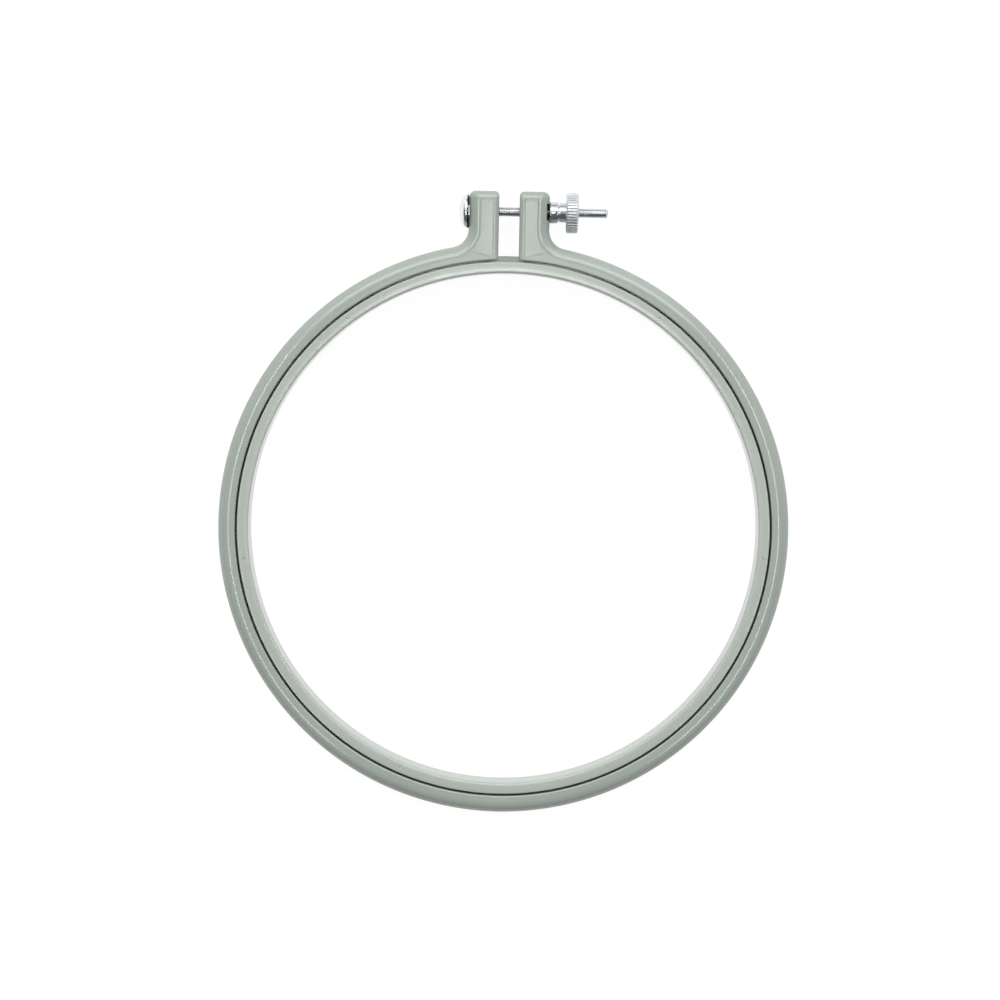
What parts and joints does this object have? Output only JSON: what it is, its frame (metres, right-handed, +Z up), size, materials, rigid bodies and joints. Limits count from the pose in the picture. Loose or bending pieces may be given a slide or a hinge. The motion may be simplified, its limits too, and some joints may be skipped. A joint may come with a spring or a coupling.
{
  "type": "embroidery hoop",
  "caption": "Round plastic embroidery hoop: flanged inner ring, split outer ring with two lugs, domed-head screw and knurled thumb nut.",
  "frame": {"origin": "centre of the bounding box on the table, midway between the far edge of the outer ring and the end of the lugs", "axes": "+Z up along the hoop's axis, +Y from the ring's centre towards the lugs, +X along the screw from its head to its tip"},
  "size_m": [0.171, 0.1862, 0.0124],
  "materials": {
    "inner_plastic": "moulded, semi-gloss, pale grey-green",
    "outer_plastic": "moulded, semi-gloss, grey-green",
    "nickel": "bright nickel plate on steel"
  },
  "bodies": {
    "inner_ring": {"inner_ring": "inner_plastic"},
    "outer_ring": {"outer_ring": "outer_plastic"},
    "clamp_screw": {"clamp_screw": "nickel"},
    "thumb_nut": {"thumb_nut": "nickel"}
  },
  "joints": [
    {"name": "outer_ring_lift", "type": "slide", "parent": "inner_ring", "child": "outer_ring", "axis": [0, 0, 1], "range_m": [0, 0.03]},
    {"name": "clamp_screw_travel", "type": "slide", "parent": "outer_ring", "child": "clamp_screw", "axis": [-1, 0, 0], "range_m": [0, 0.0085]},
    {"name": "thumb_nut_spin", "type": "hinge", "parent": "outer_ring", "child": "thumb_nut", "pos_m": [0.01235, 0.08715, 0.0064], "axis": [1, 0, 0], "range_deg": [0, 6120]}
  ],
  "couplings": [
    {"joint": "thumb_nut_spin", "follows": "clamp_screw_travel", "rad_per_m": 12566}
  ]
}
